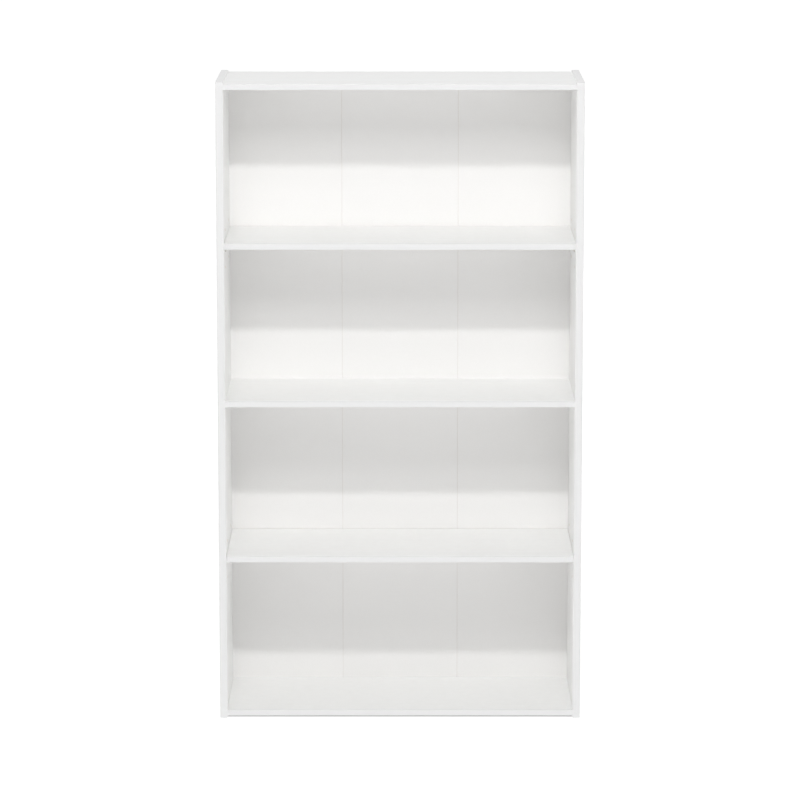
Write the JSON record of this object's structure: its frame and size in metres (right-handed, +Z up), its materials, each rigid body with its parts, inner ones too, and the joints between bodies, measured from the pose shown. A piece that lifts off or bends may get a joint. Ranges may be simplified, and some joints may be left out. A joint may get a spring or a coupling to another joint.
{
  "type": "bookcase with adjustable shelves",
  "caption": "Open-fronted flat-pack bookcase: side panels, fixed top, middle and bottom boards, adjustable shelves on pull-out pins, and a thin nailed back.",
  "frame": {"origin": "on the floor, in the middle of the overall width and of the overall depth", "axes": "+X to the right seen from the front, +Y from the open front to the back, +Z up"},
  "size_m": [0.6232, 0.2358, 1.1],
  "materials": {
    "melamine_board": "white melamine-faced particleboard, fine satin texture",
    "edge_band": "white PVC edge band, satin",
    "back_hardboard": "hardboard, white lacquered front, bare brown rear",
    "fold_tape": "kraft paper tape",
    "beech_dowel": "bare beech",
    "zinc_screw": "zinc-plated steel",
    "cover_cap": "white moulded plastic, satin",
    "nail_steel": "bright steel wire",
    "nickel_pin": "nickel-plated die casting"
  },
  "bodies": {
    "case": {"left_side_panel": "melamine_board", "right_side_panel": "melamine_board", "left_side_front_band": "edge_band", "left_side_top_band": "edge_band", "right_side_front_band": "edge_band", "right_side_top_band": "edge_band", "bottom_panel": "melamine_board", "bottom_panel_band": "edge_band", "bottom_panel_dowels": "beech_dowel", "bottom_panel_screws": "zinc_screw", "middle_shelf": "melamine_board", "middle_shelf_band": "edge_band", "middle_shelf_dowels": "beech_dowel", "middle_shelf_screws": "zinc_screw", "top_panel": "melamine_board", "top_panel_band": "edge_band", "top_panel_dowels": "beech_dowel", "top_panel_screws": "zinc_screw", "left_screw_caps": "cover_cap", "right_screw_caps": "cover_cap", "back_leaf_left": "back_hardboard", "back_leaf_centre": "back_hardboard", "back_leaf_right": "back_hardboard", "left_fold_tape": "fold_tape", "right_fold_tape": "fold_tape", "back_nails": "nail_steel"},
    "lower_shelf": {"lower_shelf": "melamine_board", "lower_shelf_band": "edge_band"},
    "upper_shelf": {"upper_shelf": "melamine_board", "upper_shelf_band": "edge_band"},
    "lower_shelf_pin_front_left": {"lower_shelf_pin_front_left": "nickel_pin"},
    "lower_shelf_pin_front_right": {"lower_shelf_pin_front_right": "nickel_pin"},
    "lower_shelf_pin_rear_left": {"lower_shelf_pin_rear_left": "nickel_pin"},
    "lower_shelf_pin_rear_right": {"lower_shelf_pin_rear_right": "nickel_pin"},
    "upper_shelf_pin_front_left": {"upper_shelf_pin_front_left": "nickel_pin"},
    "upper_shelf_pin_front_right": {"upper_shelf_pin_front_right": "nickel_pin"},
    "upper_shelf_pin_rear_left": {"upper_shelf_pin_rear_left": "nickel_pin"},
    "upper_shelf_pin_rear_right": {"upper_shelf_pin_rear_right": "nickel_pin"}
  },
  "joints": [
    {"name": "lower_shelf_pull_out", "type": "slide", "parent": "case", "child": "lower_shelf", "axis": [0, -1, 0], "range_m": [0, 0.24]},
    {"name": "upper_shelf_pull_out", "type": "slide", "parent": "case", "child": "upper_shelf", "axis": [0, -1, 0], "range_m": [0, 0.24]},
    {"name": "lower_shelf_pin_front_left_pull_out", "type": "slide", "parent": "case", "child": "lower_shelf_pin_front_left", "axis": [1, 0, 0], "range_m": [0, 0.0095]},
    {"name": "lower_shelf_pin_front_right_pull_out", "type": "slide", "parent": "case", "child": "lower_shelf_pin_front_right", "axis": [-1, 0, 0], "range_m": [0, 0.0095]},
    {"name": "lower_shelf_pin_rear_left_pull_out", "type": "slide", "parent": "case", "child": "lower_shelf_pin_rear_left", "axis": [1, 0, 0], "range_m": [0, 0.0095]},
    {"name": "lower_shelf_pin_rear_right_pull_out", "type": "slide", "parent": "case", "child": "lower_shelf_pin_rear_right", "axis": [-1, 0, 0], "range_m": [0, 0.0095]},
    {"name": "upper_shelf_pin_front_left_pull_out", "type": "slide", "parent": "case", "child": "upper_shelf_pin_front_left", "axis": [1, 0, 0], "range_m": [0, 0.0095]},
    {"name": "upper_shelf_pin_front_right_pull_out", "type": "slide", "parent": "case", "child": "upper_shelf_pin_front_right", "axis": [-1, 0, 0], "range_m": [0, 0.0095]},
    {"name": "upper_shelf_pin_rear_left_pull_out", "type": "slide", "parent": "case", "child": "upper_shelf_pin_rear_left", "axis": [1, 0, 0], "range_m": [0, 0.0095]},
    {"name": "upper_shelf_pin_rear_right_pull_out", "type": "slide", "parent": "case", "child": "upper_shelf_pin_rear_right", "axis": [-1, 0, 0], "range_m": [0, 0.0095]}
  ]
}
